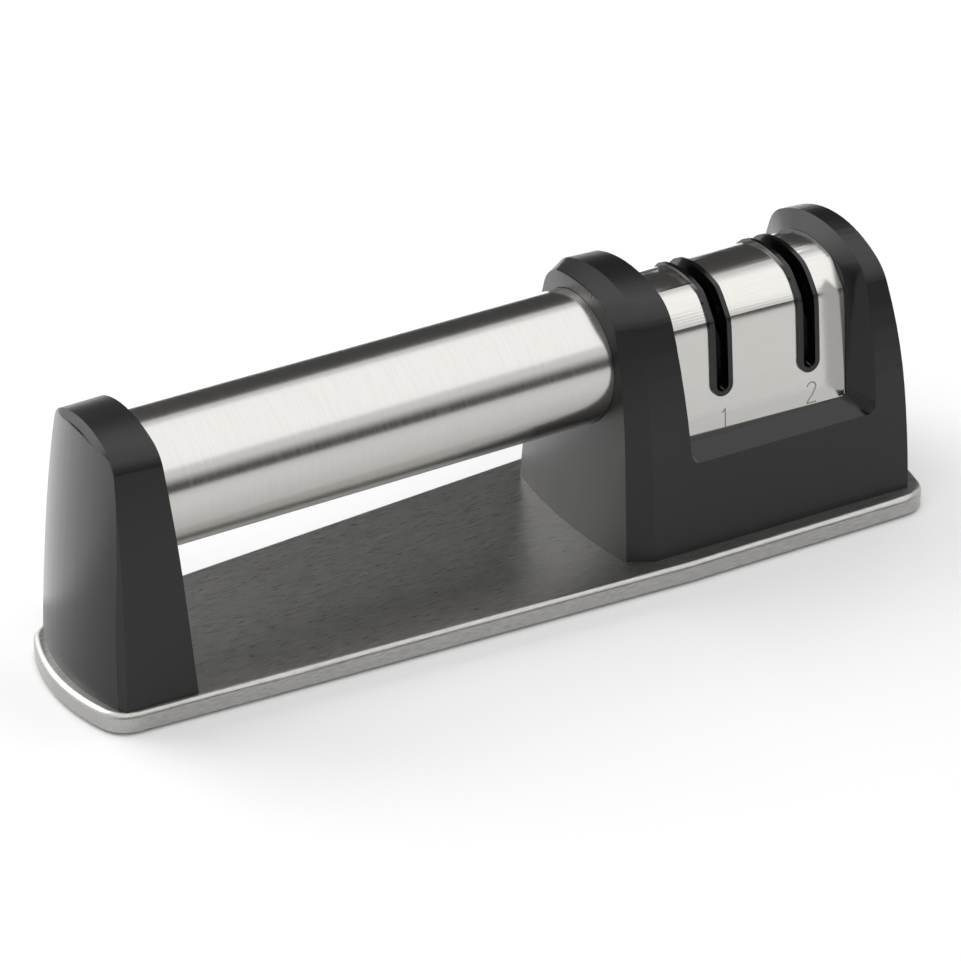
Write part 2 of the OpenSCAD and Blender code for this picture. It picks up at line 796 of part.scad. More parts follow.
// A form along the cover, moved in or out from its outer face
module cover_form(inset, lo, hi, drop)
    skin([
        arch_ring(lo, cover_arch(cover_half_at(lo), inset, drop)),
        arch_ring(hi, cover_arch(cover_half_at(hi), inset, drop))]);

// A slot seen from the front: a round foot and parallel sides, run right through the cover
module slot_cut(x, w, foot)
    translate([x, base_head_w, 0])
        rotate([90, 0, 0])
            linear_extrude(2 * base_head_w) {
                translate([0, foot + w / 2]) circle(r = w / 2);
                translate([-w / 2, foot + w / 2]) square([w, head_top - foot]);
            }

module steel_cover()
    color("silver")
        from_end()
            difference() {
                cover_form(0, cover_x, cover_end_x, 0);
                cover_form(cover_t, cover_x - over, cover_end_x + over, over);
                for (x = [coarse_x, fine_x])
                    slot_cut(x, slot_w + 2 * liner_wall, liner_z);
            }

// A moulded edge guard that lines one slot from the front panel over the crown to the back
module slot_liner(x)
    color([0.06, 0.06, 0.06])
        from_end()
            intersection() {
                difference() {
                    cover_form(-liner_rise, x - liner_half, x + liner_half, 0);
                    cover_form(cover_t + liner_depth, x - liner_half - over,
                        x + liner_half + over, over);
                    slot_cut(x, slot_w, liner_z + liner_wall);
                }
                slot_cut(x, slot_w + 2 * liner_wall - 2 * liner_gap, liner_z + liner_gap);
            }

module slot_liner_coarse() slot_liner(coarse_x);
module slot_liner_fine() slot_liner(fine_x);

// A cheek that carries one end of the axle
module cheek(x)
    translate([x, 0, 0])
        rotate([90, 0, 90])
            linear_extrude(cheek_t)
                union() {
                    polygon([
                        [-cradle_w / 2, tray_top], [cradle_w / 2, tray_top],
                        [cradle_w / 2, tray_top + cradle_floor],
                        [cheek_round, axle_z], [-cheek_round, axle_z],
                        [-cradle_w / 2, tray_top + cradle_floor]]);
                    translate([0, axle_z]) circle(r = cheek_round);
                }

// A cradle that stands on the tray and holds one pair of wheels
module cradle(x)
    color("dimgray")
        from_end()
            translate([x, 0, 0])
                difference() {
                    union() {
                        cheek(cheek_in);
                        cheek(-cheek_out);
                        translate([-cheek_out, -cradle_w / 2, tray_top])
                            cube([2 * cheek_out, cradle_w, cradle_floor]);
                        for (y = [-cradle_screw_y, cradle_screw_y])
                            translate([0, y, tray_top]) cylinder(h = boss_h, r = boss_r);
                    }
                    translate([0, 0, axle_z])
                        rod(-cheek_out - over, 2 * cheek_out + 2 * over, axle_r + axle_seat_gap);
                    for (y = [-cradle_screw_y, cradle_screw_y])
                        translate([0, y, tray_top - over])
                            cylinder(h = pilot_depth + over, r = pilot_d / 2);
                }

module coarse_cradle() cradle(coarse_x);
module fine_cradle() cradle(fine_x);

// A steel pin with a groove for a clip near each end
module axle(x)
    color("gainsboro")
        from_end()
            translate([x, 0, axle_z])
                difference() {
                    rod(-axle_half, 2 * axle_half, axle_r);
                    for (side = [-1, 1])
                        translate([side * clip_mid, 0, 0])
                            difference() {
                                rod(-clip_t / 2 - groove_play, clip_t + 2 * groove_play, axle_d);
                                rod(-clip_t, 2 * clip_t, groove_r);
                            }
                }

module coarse_axle() axle(coarse_x);
module fine_axle() axle(fine_x);

// Two open spring clips, one in each groove of the axle
module axle_clips(x)
    color("gainsboro")
        from_end()
            for (side = [-1, 1])
                translate([x + side * clip_mid, 0, axle_z])
                    difference() {
                        rod(-clip_t / 2, clip_t, clip_r);
                        rod(-clip_t, 2 * clip_t, groove_r + groove_play);
                        translate([-clip_t, -groove_r, -clip_r - over])
                            cube([2 * clip_t, 2 * groove_r, clip_r + over]);
                    }

module coarse_axle_clips() axle_clips(coarse_x);
module fine_axle_clips() axle_clips(fine_x);

// A sleeve that the two wheels of a stage are pressed on
module hub(x)
    color("white")
        from_end()
            translate([x, 0, axle_z])
                difference() {
                    rod(-wheel_w, 2 * wheel_w, hub_r);
                    rod(-wheel_w - over, 2 * wheel_w + 2 * over, axle_r + axle_fit);
                }

module coarse_hub() hub(coarse_x);
module fine_hub() hub(fine_x);

// A bevelled wheel; its small end meets the small end of its partner on the slot's middle
module wheel(x, dir)
    from_end()
        translate([x, 0, axle_z])
            mirror([dir < 0 ? 1 : 0, 0, 0])
                difference() {
                    union() {
                        translate([wheel_meet / 2, 0, 0])
                            rotate([0, 90, 0])
                                cylinder(h = bevel_len, r1 = vee_r, r2 = wheel_r);
                        rod(wheel_meet / 2 + bevel_len, wheel_w - bevel_len - wheel_meet / 2,
                            wheel_r);
                    }
                    rod(-over, wheel_w + 2 * over, hub_r + push_gap);
                }

module coarse_wheel_left() color("gray") wheel(coarse_x, -1);
module coarse_wheel_right() color("gray") wheel(coarse_x, 1);
module fine_wheel_left() color("ivory") wheel(fine_x, -1);
module fine_wheel_right() color("ivory") wheel(fine_x, 1);

base_tray();
base_pan();
non_slip_sole();
end_post();
post_screws();
handle_tube();
tube_plug_post();
tube_plug_head();
plug_screws();
head_housing();
head_screws();
steel_cover();
slot_liner_coarse();
slot_liner_fine();
coarse_cradle();
fine_cradle();
cradle_screws();
coarse_axle();
fine_axle();
coarse_axle_clips();
fine_axle_clips();
coarse_hub();
fine_hub();
coarse_wheel_left();
coarse_wheel_right();
fine_wheel_left();
fine_wheel_right();
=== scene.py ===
"""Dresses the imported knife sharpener: finishes, etched numbers, floor, lamps, cards and camera."""

import json
import math

import bmesh
import bpy
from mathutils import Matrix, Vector
from mathutils.bvhtree import BVHTree


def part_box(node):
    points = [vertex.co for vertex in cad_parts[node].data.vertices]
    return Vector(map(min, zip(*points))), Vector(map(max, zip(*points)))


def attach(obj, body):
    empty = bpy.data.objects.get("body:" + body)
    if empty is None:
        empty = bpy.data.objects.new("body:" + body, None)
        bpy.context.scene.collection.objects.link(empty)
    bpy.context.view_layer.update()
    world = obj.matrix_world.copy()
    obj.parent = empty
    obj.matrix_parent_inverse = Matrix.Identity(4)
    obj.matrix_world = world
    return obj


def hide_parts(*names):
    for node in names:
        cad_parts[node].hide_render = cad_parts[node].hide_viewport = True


bl_info = {
    "name": "Pull-through knife sharpener",
    "version": (1, 0, 0),
    "blender": (4, 5, 0),
    "location": "View3D > Sidebar > Sharpener",
    "description": "Dresses a two-stage pull-through knife sharpener on its packed frame",
    "category": "Object",
}

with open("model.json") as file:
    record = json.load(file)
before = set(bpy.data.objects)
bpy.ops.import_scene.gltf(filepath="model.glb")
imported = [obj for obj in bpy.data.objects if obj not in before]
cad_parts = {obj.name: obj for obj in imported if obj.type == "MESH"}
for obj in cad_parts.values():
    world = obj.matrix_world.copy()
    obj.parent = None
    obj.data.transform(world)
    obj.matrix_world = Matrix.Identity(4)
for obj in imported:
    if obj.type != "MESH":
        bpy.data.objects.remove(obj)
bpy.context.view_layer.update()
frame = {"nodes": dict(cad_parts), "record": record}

MM = 0.001
ROOT = "base"
COVER_LOW, COVER_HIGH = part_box("steel_cover")
TUBE_LOW, TUBE_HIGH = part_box("handle_tube")

# A ray towards the cover starts this many metres away from it, clear of the whole part
FAR = 0.1


# Colours and nodes


def linear(hex_colour):
    """Turns an sRGB hex colour into the linear RGBA that a shader takes."""
    channels = [int(hex_colour[i : i + 2], 16) / 255 for i in (1, 3, 5)]
    return [c / 12.92 if c <= 0.04045 else ((c + 0.055) / 1.055) ** 2.4 for c in channels] + [1.0]


def add_node(owner, kind, links=(), inputs=None, **properties):
    """Adds a node to a material or the world: links as (input, output socket), inputs by key."""
    node = owner.node_tree.nodes.new(kind)
    for name, value in properties.items():
        setattr(node, name, value)
    for key, value in (inputs or {}).items():
        node.inputs[key].default_value = value
    for key, socket in links:
        owner.node_tree.links.new(socket, node.inputs[key])
    return node


def new_material(name):
    """A material that holds only its Principled shader."""
    material = bpy.data.materials.new(name)
    material.use_nodes = True
    return material


def set_shader(material, **values):
    """Sets the Principled shader's inputs, each to a constant or to another node's output."""
    shader = material.node_tree.nodes["Principled BSDF"]
    for name, value in values.items():
        socket = shader.inputs[name.replace("_", " ")]
        if isinstance(value, bpy.types.NodeSocket):
            material.node_tree.links.new(value, socket)
        else:
            socket.default_value = value


# Materials

# The Mix node's colour sockets, whose names its other data types share
COLOUR_A, COLOUR_B, COLOUR_OUT = 6, 7, 2

# Each axis's share of a pattern's frequency: a small share draws the pattern out along that axis
ALONG_X = (0.08, 1.0, 1.0)
ALONG_COVER = (0.03, 1.0, 1.0)
ROUND_TUBE = (1.0, 0.03, 0.03)
EVEN = (1.0, 1.0, 1.0)

# The part of a noise's values that nearly all of it falls in, and how many finer layers it has
NOISE_LOW, NOISE_HIGH = 0.3, 0.7
STEEL_DETAIL = 3.0
PLASTIC_DETAIL = 2.0

PLASTIC_IOR = 1.5
PLASTIC_SPECULAR = 0.42
GRIT_BUMP = 0.6


def surface_marks(material, stretch, spacing_mm, detail, roughness, depth_mm):
    """Draws fine marks that raise a surface and vary its roughness, and returns their noise."""
    place = add_node(material, "ShaderNodeTexCoord")
    mapping = add_node(
        material,
        "ShaderNodeMapping",
        [("Vector", place.outputs["Object"])],
        {"Scale": [share / (spacing_mm * MM) for share in stretch]},
    )
    noise = add_node(
        material,
        "ShaderNodeTexNoise",
        [("Vector", mapping.outputs["Vector"])],
        {"Scale": 1.0, "Detail": detail},
    )
    smooth, rough = roughness
    spread = add_node(
        material,
        "ShaderNodeMapRange",
        [("Value", noise.outputs["Fac"])],
        {"From Min": NOISE_LOW, "From Max": NOISE_HIGH, "To Min": smooth, "To Max": rough},
    )
    bump = add_node(
        material,
        "ShaderNodeBump",
        [("Height", noise.outputs["Fac"])],
        {"Strength": 1.0, "Distance": depth_mm * MM},
    )
    set_shader(material, Roughness=spread.outputs["Result"], Normal=bump.outputs["Normal"])
    return noise.outputs["Fac"]


def worked_steel(name, tones, stretch, spacing_mm, roughness, depth_mm):
    """Steel whose marks run from a dark to a light tone and blur what it mirrors across them."""
    material = new_material(name)
    noise = surface_marks(material, stretch, spacing_mm, STEEL_DETAIL, roughness, depth_mm)
    dark, light = tones
    tone = add_node(
        material,
        "ShaderNodeMix",
        [("Factor", noise)],
        {COLOUR_A: linear(dark), COLOUR_B: linear(light)},
        data_type="RGBA",
    )
    set_shader(material, Metallic=1.0, Base_Color=tone.outputs[COLOUR_OUT])
    return material


def moulded_plastic(name, colour, roughness, grain_mm, depth_mm):
    """Plastic or rubber with the even grain of its mould, which softens the highlights."""
    material = new_material(name)
    surface_marks(material, EVEN, grain_mm, PLASTIC_DETAIL, roughness, depth_mm)
    set_shader(
        material,
        Base_Color=(*colour, 1.0),
        IOR=PLASTIC_IOR,
        Specular_IOR_Level=PLASTIC_SPECULAR,
    )
    return material


def gritty(name, dark, light, grain_mm, roughness, metallic):
    """An abrasive face: coloured grit in a bond, rough all over."""
    material = new_material(name)
    place = add_node(material, "ShaderNodeTexCoord")
    cells = add_node(
        material,
        "ShaderNodeTexVoronoi",
        [("Vector", place.outputs["Object"])],
        {"Scale": 1 / (grain_mm * MM)},
    )
    tone = add_node(
        material,
        "ShaderNodeMix",
        [("Factor", cells.outputs["Distance"])],
        {COLOUR_A: linear(dark), COLOUR_B: linear(light)},
        data_type="RGBA",
    )
    bump = add_node(
        material,
        "ShaderNodeBump",
        [("Height", cells.outputs["Distance"])],
        {"Strength": GRIT_BUMP, "Distance": grain_mm * MM / 2},
    )
    set_shader(
        material,
        Base_Color=tone.outputs[COLOUR_OUT],
        Metallic=metallic,
        Roughness=roughness,
        Normal=bump.outputs["Normal"],
    )
    return material


def make_materials(look):
    """Every finish of the object, by the name of its slot in the record.

    Real brushing and mould grain are finer than 0.1 mm, too fine to show in the render, so their
    spacings in millimetres are drawn as coarse as they need to be to show.
    """
    return {
        # Stainless sheet, brushed along its length: a dark grey sheen with short fine scratches
        "brushed_tray": worked_steel(
            "brushed stainless tray", ("#83827f", "#c9c8c5"), ALONG_X, 0.20, (0.27, 0.33), 0.00022
        ),
        # Stainless tube, brushed round its girth: what it mirrors runs into soft bands along it
        "brushed_tube": worked_steel(
            "brushed stainless tube", ("#bcbab7", "#c9c7c4"), ROUND_TUBE, 0.3, (0.16, 0.21), 0.0009
        ),
        # Stainless sheet, brushed finely along X: nearly a mirror, with its bands drawn out
        "polished_cover": worked_steel(
            "satin stainless cover", ("#c0beba", "#cbc9c5"), ALONG_COVER, 0.3, (0.16, 0.18), 0.0001
        ),
        # ABS from a lightly eroded mould: deep black with wide, satin highlights
        "black_moulding": moulded_plastic(
            "moulded black ABS", look.moulding_colour, (0.30, 0.36), 0.3, 0.0015
        ),
        # ABS from a coarser mould, for what is hidden: a dull dark grey
        "dark_moulding": moulded_plastic(
            "moulded dark grey ABS", look.hidden_colour, (0.5, 0.6), 0.4, 0.004
        ),
        # ABS from a polished mould: near black, with thin bright lines along the guards
        "gloss_liner": moulded_plastic(
            "glossy black ABS", look.liner_colour, (0.14, 0.2), 0.8, 0.0005
        ),
        # Rubber, pressed into a sheet: flat black with hardly a highlight
        "sole": moulded_plastic("black rubber sheet", look.sole_colour, (0.75, 0.9), 0.5, 0.01),
        # Screws, axles and clips of barrel-plated steel: an even, slightly hazy bright grey
        "fasteners": worked_steel(
            "zinc-plated steel", ("#9a9c9e", "#c6c8ca"), EVEN, 0.4, (0.3, 0.42), 0.001
        ),
        # Acetal, turned from rod: a milky off-white with a soft shine
        "hub": moulded_plastic("natural acetal", look.hub_colour, (0.4, 0.5), 0.6, 0.001),
        # Steel with diamond grit plated on: dark, with light grains that catch the lamps
        "diamond_wheel": gritty("diamond-coated steel", "#2a2b2c", "#6a6b6d", 0.18, 0.5, 0.8),
        # Ceramic, pressed and sintered: a dull dark grey with a fine grain
        "ceramic_wheel": gritty("grey sintered ceramic", "#2b2a28", "#4a4844", 0.14, 0.7, 0.0),
        # Stainless, dulled by etching: a grey line that the cover's shine sets off
        "etching": worked_steel(
            "etched stainless", ("#7a7976", "#9a9996"), EVEN, 0.08, (0.50, 0.60), 0.0
        ),
    }


# The finishes by slot, which the first operator makes
MATERIALS = {}


# What a user would change


class SharpenerSizes(bpy.types.PropertyGroup):
    """Widest bevels, the tube's wall and the sizes of the etched numbers."""

    moulding_edge: bpy.props.FloatProperty(
        name="Moulding edge",
        description="Widest bevel of the post's and the head's edges, narrower on narrow faces",
        default=0.35 * MM, unit="LENGTH",
    )
    liner_edge: bpy.props.FloatProperty(
        name="Liner edge",
        description="Widest bevel of the slot liners' edges, narrower on narrow faces",
        default=0.15 * MM, unit="LENGTH",
    )
    tube_wall: bpy.props.FloatProperty(
        name="Tube wall", description="Wall thickness of the handle tube",
        default=0.8 * MM, unit="LENGTH",
    )
    digit_height: bpy.props.FloatProperty(
        name="Number height", description="Height of the numbers under the slots",
        default=4.4 * MM, unit="LENGTH",
    )
    digit_stroke: bpy.props.FloatProperty(
        name="Number stroke", description="Width of the strokes of the numbers",
        default=0.3 * MM, unit="LENGTH",
    )
    digit_depth: bpy.props.FloatProperty(
        name="Number depth", description="Thickness of the etched numbers",
        default=0.03 * MM, unit="LENGTH",
    )


class SharpenerLook(bpy.types.PropertyGroup):
    """Colours of the plastics and the floor, and the level of the light."""

    moulding_colour: bpy.props.FloatVectorProperty(
        name="Mouldings", description="Colour of the post and the head",
        default=linear("#0d0d0e")[:3], size=3, subtype="COLOR",
    )
    liner_colour: bpy.props.FloatVectorProperty(
        name="Slot liners", description="Colour of the guards that line the slots",
        default=linear("#060606")[:3], size=3, subtype="COLOR",
    )
    hidden_colour: bpy.props.FloatVectorProperty(
        name="Hidden mouldings", description="Colour of the pan, the plugs and the cradles",
        default=linear("#2c2d2f")[:3], size=3, subtype="COLOR",
    )
    hub_colour: bpy.props.FloatVectorProperty(
        name="Hubs", description="Colour of the hubs that carry the wheels",
        default=linear("#d6d3c8")[:3], size=3, subtype="COLOR",
    )
    sole_colour: bpy.props.FloatVectorProperty(
        name="Sole", description="Colour of the sole under the tray",
        default=linear("#141415")[:3], size=3, subtype="COLOR",
    )
    floor_colour: bpy.props.FloatVectorProperty(
        name="Floor", description="Colour of the floor",
        default=(0.96, 0.96, 0.96), size=3, subtype="COLOR",
    )
    key_power: bpy.props.FloatProperty(
        name="Key lamp", description="Power of the overhead softbox", default=12.5, unit="POWER",
    )


# Pieces

# Skin corners closer than this many millimetres are one, and faces that turn by less than this
# many degrees lie in one plane
MERGE_MM = 0.002
FLAT_DEG = 0.1

# Least angle, in degrees, of an edge that is bevelled, and of one that is shaded as sharp
MOULDING_EDGE_DEG = 12
LINER_EDGE_DEG = 60
SHARP_DEG = 30
CURVED_SHARP_DEG = 40
EDGE_SEGMENTS = 2

TUBE_STEPS = 160


def slot_of(node):
    """The record's material slot of a node."""
    for entry in frame["record"]["subparts"]:
        if entry["node"] == node:
            return entry["material_slot"]
    raise KeyError(node)


def add_piece(name, bm, slot, finish=None, replaces=(), sharp_deg=SHARP_DEG):
    """Turns a bmesh into a piece of the base, in its slot's finish unless another is named."""
    mesh = bpy.data.meshes.new(name)
    bm.to_mesh(mesh)
    bm.free()
    piece = bpy.data.objects.new(name, mesh)
    bpy.context.scene.collection.objects.link(piece)
    mesh.materials.append(MATERIALS[finish or slot])
    mesh.shade_smooth()
    mesh.set_sharp_from_angle(angle=math.radians(sharp_deg))
    even = piece.modifiers.new("even shading", "WEIGHTED_NORMAL")
    even.keep_sharp = True
    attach(piece, ROOT)
    if replaces:
        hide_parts(*replaces)


def merged_copy(node):
    """A node's own skin with its loose triangles joined and flat areas cleared of seams."""
    bm = bmesh.new()
    bm.from_mesh(frame["nodes"][node].data)
    bmesh.ops.remove_doubles(bm, verts=bm.verts, dist=MERGE_MM * MM)
    bmesh.ops.dissolve_limit(
        bm,
        angle_limit=math.radians(FLAT_DEG),
        verts=bm.verts,
        edges=bm.edges,
        delimit={"NORMAL"},
    )
    return bm


def bevel_edges(bm, radius, least_deg):
    """Bevels the sharp edges as far as the faces beside them leave room.

    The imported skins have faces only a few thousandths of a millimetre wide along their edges, so
    the clamp leaves these bevels narrower than 0.003 mm. They round nothing that can be seen, but
    they keep the shading of the sides apart.
    """
    sharp = [
        edge
        for edge in bm.edges
        if len(edge.link_faces) == 2 and edge.calc_face_angle(0) > math.radians(least_deg)
    ]
    bmesh.ops.bevel(
        bm,
        geom=sharp,
        offset=radius,
        affect="EDGES",
        segments=EDGE_SEGMENTS,
        profile=0.5,
        material=-1,
        clamp_overlap=True,
    )


def lathe_tube(wall):
    """The handle tube, spun round its axis from its wall's outline."""
    radius = (TUBE_HIGH.z - TUBE_LOW.z) / 2
    axis_z = (TUBE_HIGH.z + TUBE_LOW.z) / 2
    bm = bmesh.new()
    outline = [
        bm.verts.new((x, 0, axis_z + r))
        for x, r in (
            (TUBE_LOW.x, radius),
            (TUBE_HIGH.x, radius),
            (TUBE_HIGH.x, radius - wall),
            (TUBE_LOW.x, radius - wall),
        )
    ]
    edges = [bm.edges.new((a, b)) for a, b in zip(outline, outline[1:] + outline[:1])]
    bmesh.ops.spin(
        bm,
        geom=outline + edges,
        cent=(0, 0, axis_z),
        axis=(1, 0, 0),
        angle=math.tau,
        steps=TUBE_STEPS,
        use_merge=True,
        use_duplicate=False,
    )
    bmesh.ops.recalc_face_normals(bm, faces=bm.faces)
    return bm


# The cover's bend: a crease ends the flat panel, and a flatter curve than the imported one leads
# from there to the crown. Heights and lengths are in millimetres. A direction is in degrees up
# from the horizontal, seen from a centre inside the cover at this height.
BEND_CENTRE_Z = 42.0
# The crease's foot and the height over which it turns
BEND_Z = 50.2
BEND_ROUND = 2.0
# How far the new curve leans in from upright, in degrees, at the crease and where it meets the
# crown, and the direction in which it meets it
BEND_LEAN_DEG = 31
CROWN_LEAN_DEG = 71
CROWN_FROM_DEG = 65
# The curve's handles as a share of their way to where they cross, and its number of steps
BEND_REACH = 0.6
BEND_STEPS = 40
# Spacing and number of the cuts above the crease that let the skin bend, and the distance at
# which a corner counts as on a cut
BEND_CUT = 0.3
BEND_CUTS = 21
CUT_TOLERANCE = 0.01
# Skin corners this close along X share a profile
PROFILE_SPACING = 0.05
# Directions tried for each degree when the crease is looked for
CREASE_TRIES = 10
QUARTER_DEG = 90
TINY = 1e-9


def cover_profiles():
    """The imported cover's outer profile near its two ends, each as its X and radius by degree."""
    bm = bmesh.new()
    bm.from_mesh(frame["nodes"]["steel_cover"].data)
    skin = BVHTree.FromBMesh(bm)
    bm.free()
    profiles = []
    for x in (COVER_LOW.x + MM, COVER_HIGH.x - MM):
        centre = Vector((x, 0, BEND_CENTRE_Z * MM))
        radii = []
        for degree in range(QUARTER_DEG + 1):
            turn = math.radians(degree)
            out = Vector((0, -math.cos(turn), math.sin(turn)))
            place, _, _, _ = skin.ray_cast(centre + out * FAR, -out)
            radii.append((place - centre).length)
        profiles.append((x, radii))
    return profiles


def packed_radius(profiles, x, degree):
    """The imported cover's outer radius at a place along X, in a direction in degrees."""
    (x_a, radii_a), (x_b, radii_b) = profiles
    share = (x - x_a) / (x_b - x_a)
    low = min(int(degree), QUARTER_DEG - 1)
    part = degree - low
    at_a = radii_a[low] * (1 - part) + radii_a[low + 1] * part
    at_b = radii_b[low] * (1 - part) + radii_b[low + 1] * part
    return at_a * (1 - share) + at_b * share


def lean(degree):
    """The way that a profile runs upwards where it leans in by an angle."""
    return Vector((-math.sin(math.radians(degree)), math.cos(math.radians(degree))))


def bent_profile(profiles, x):
    """The crease's direction and the new curve from there up, as (degree, radius), at an X."""

    def at(degree):
        turn = math.radians(degree)
        return packed_radius(profiles, x, degree) * Vector((math.cos(turn), math.sin(turn)))

    crease_z = (BEND_Z + BEND_ROUND / 2 - BEND_CENTRE_Z) * MM
    tries = (count / CREASE_TRIES for count in range(QUARTER_DEG * CREASE_TRIES))
    crease_deg = next(degree for degree in tries if at(degree).y > crease_z)
    start, end = at(crease_deg), at(CROWN_FROM_DEG)
    go, arrive = lean(BEND_LEAN_DEG), lean(CROWN_LEAN_DEG)
    gap = end - start
    cross = go.cross(arrive)
    first = start + go * (BEND_REACH * gap.cross(arrive) / cross)
    second = end - arrive * (BEND_REACH * go.cross(gap) / cross)
    curve = []
    for step in range(BEND_STEPS + 1):
        t = step / BEND_STEPS
        point = (
            start * (1 - t) ** 3
            + first * 3 * t * (1 - t) ** 2
            + second * 3 * t * t * (1 - t)
            + end * t**3
        )
        curve.append((math.degrees(math.atan2(point.y, point.x)), point.length))
    return crease_deg, curve


def bend_cover(bm, profiles):
    """Draws a skin in between its crease and its crown, so that the bend line shows."""
    above = [BEND_Z + BEND_ROUND + BEND_CUT * count for count in range(BEND_CUTS)]
    for z in [BEND_Z] + above:
        bmesh.ops.bisect_plane(
            bm,
            geom=bm.verts[:] + bm.edges[:] + bm.faces[:],
            dist=CUT_TOLERANCE * MM,
            plane_co=(0, 0, z * MM),
            plane_no=(0, 0, 1),
        )
    curves = {}
    for vert in bm.verts:
        out = Vector((abs(vert.co.y), vert.co.z - BEND_CENTRE_Z * MM))
        degree = math.degrees(math.atan2(out.y, out.x))
        if not 0 < degree < CROWN_FROM_DEG:
            continue
        key = round(vert.co.x / (PROFILE_SPACING * MM))
        if key not in curves:
            curves[key] = bent_profile(profiles, vert.co.x)
        crease_deg, curve = curves[key]
        if degree <= crease_deg:
            continue
        for (low_deg, low_r), (high_deg, high_r) in zip(curve, curve[1:]):
            if low_deg <= degree <= high_deg:
                part = (degree - low_deg) / max(high_deg - low_deg, TINY)
                radius = low_r + (high_r - low_r) * part
                share = radius / packed_radius(profiles, vert.co.x, degree)
                side = -1 if vert.co.y < 0 else 1
                vert.co.y = side * out.x * share
                vert.co.z = BEND_CENTRE_Z * MM + out.y * share
                break


# How far the middle of each number lies below its slot's foot and towards the head end of its
# slot's middle, and the longest part of a stroke, in millimetres; and the height of the 2 as a
# share of the 1's
ONE_BELOW = 5.7
TWO_BELOW = 5.4
NUMBER_SIDE = 0.9
NUMBER_STEP = 0.35
TWO_SHARE = 1.12

# The 1 as a flag and a stem, in shares of its height
DIGIT_ONE = ((-0.17, 0.30), (-0.02, 0.46), (0.02, 0.5), (0.02, 0.2), (0.02, -0.5))

# The 2's bowl as its radius, the height of its middle and the degrees it runs through, and the
# slope and the foot that follow it, in shares of its height
BOWL_RADIUS = 0.23
BOWL_MIDDLE = 0.27
BOWL_DEGREES = range(170, -41, -15)
TWO_FOOT = (
    (0.08, -0.08),
    (-0.12, -0.32),
    (-0.235, -0.47),
    (-0.23, -0.5),
    (0.0, -0.5),
    (0.25, -0.5),
)


def digit_two():
    """The number 2 as a bowl, a slope and a foot, in shares of its height."""
    bowl = [
        (
            BOWL_RADIUS * math.cos(math.radians(degree)),
            BOWL_MIDDLE + BOWL_RADIUS * math.sin(math.radians(degree)),
        )
        for degree in BOWL_DEGREES
    ]
    return (*bowl, *TWO_FOOT)


def finely(points, step):
    """The same line with points no farther apart than a step."""
    line = [Vector(points[0])]
    for a, b in zip(points, points[1:]):
        a, b = Vector(a), Vector(b)
        parts = max(1, math.ceil((b - a).length / step))
        line += [a.lerp(b, (count + 1) / parts) for count in range(parts)]
    return line


def ribbon(line, width, depth, on_panel):
    """A thin closed stroke along a line of (x, z) points that follows a panel."""
    sides = []
    for i, corner in enumerate(line):
        before = line[max(i - 1, 0)]
        after = line[min(i + 1, len(line) - 1)]
        run = (after - before).normalized()
        out = Vector((-run.y, run.x)) * width / 2
        sides.append((corner + out, corner - out))
    bm = bmesh.new()
    top, bottom = (
        [[bm.verts.new(on_panel(point, lift)) for point in pair] for pair in sides]
        for lift in (depth / 2, -depth / 2)
    )
    for i in range(len(sides) - 1):
        bm.faces.new((top[i][0], top[i][1], top[i + 1][1], top[i + 1][0]))
        bm.faces.new((bottom[i][1], bottom[i][0], bottom[i + 1][0], bottom[i + 1][1]))
        for s in (0, 1):
            bm.faces.new((top[i][s], top[i + 1][s], bottom[i + 1][s], bottom[i][s]))
    for i in (0, -1):
        bm.faces.new((top[i][0], top[i][1], bottom[i][1], bottom[i][0]))
    bmesh.ops.recalc_face_normals(bm, faces=bm.faces)
    return bm


class SHARPENER_OT_finish_nodes(bpy.types.Operator):
    """Makes the finishes and gives every CAD node its own"""

    bl_idname = "sharpener.finish_nodes"
    bl_label = "Finish the nodes"

    def execute(self, context):
        MATERIALS.update(make_materials(context.scene.sharpener_look))
        for name, node in frame["nodes"].items():
            node.data.materials.clear()
            node.data.materials.append(MATERIALS[slot_of(name)])
        return {"FINISHED"}


class SHARPENER_OT_mouldings(bpy.types.Operator):
    """Black post, head and slot liners"""

    bl_idname = "sharpener.mouldings"
    bl_label = "Mouldings"

    def execute(self, context):
        sizes = context.scene.sharpener_sizes
        for node in ("end_post", "head_housing"):
            bm = merged_copy(node)
            bevel_edges(bm, sizes.moulding_edge, MOULDING_EDGE_DEG)
            add_piece(
                node + "_moulding",
                bm,
                "black_moulding",
                replaces=(node,),
                sharp_deg=CURVED_SHARP_DEG,
            )
        profiles = cover_profiles()
        for node in ("slot_liner_coarse", "slot_liner_fine"):
            bm = merged_copy(node)
            bend_cover(bm, profiles)
            bevel_edges(bm, sizes.liner_edge, LINER_EDGE_DEG)
            add_piece(
                node + "_moulding",
                bm,
                "gloss_liner",
                replaces=(node,),
                sharp_deg=CURVED_SHARP_DEG,
            )
        return {"FINISHED"}


class SHARPENER_OT_steelwork(bpy.types.Operator):
    """Steel tray, tube and slotted cover"""

    bl_idname = "sharpener.steelwork"
    bl_label = "Steelwork"

    def execute(self, context):
        tray = merged_copy("base_tray")
        add_piece("base_tray_sheet", tray, "brushed_tray", replaces=("base_tray",))
        cover = merged_copy("steel_cover")
        bend_cover(cover, cover_profiles())
        add_piece(
            "steel_cover_sheet",
            cover,
            "polished_cover",
            replaces=("steel_cover",),
            sharp_deg=CURVED_SHARP_DEG,
        )
        tube = lathe_tube(context.scene.sharpener_sizes.tube_wall)
        add_piece("handle_tube_skin", tube, "brushed_tube", replaces=("handle_tube",))
        return {"FINISHED"}


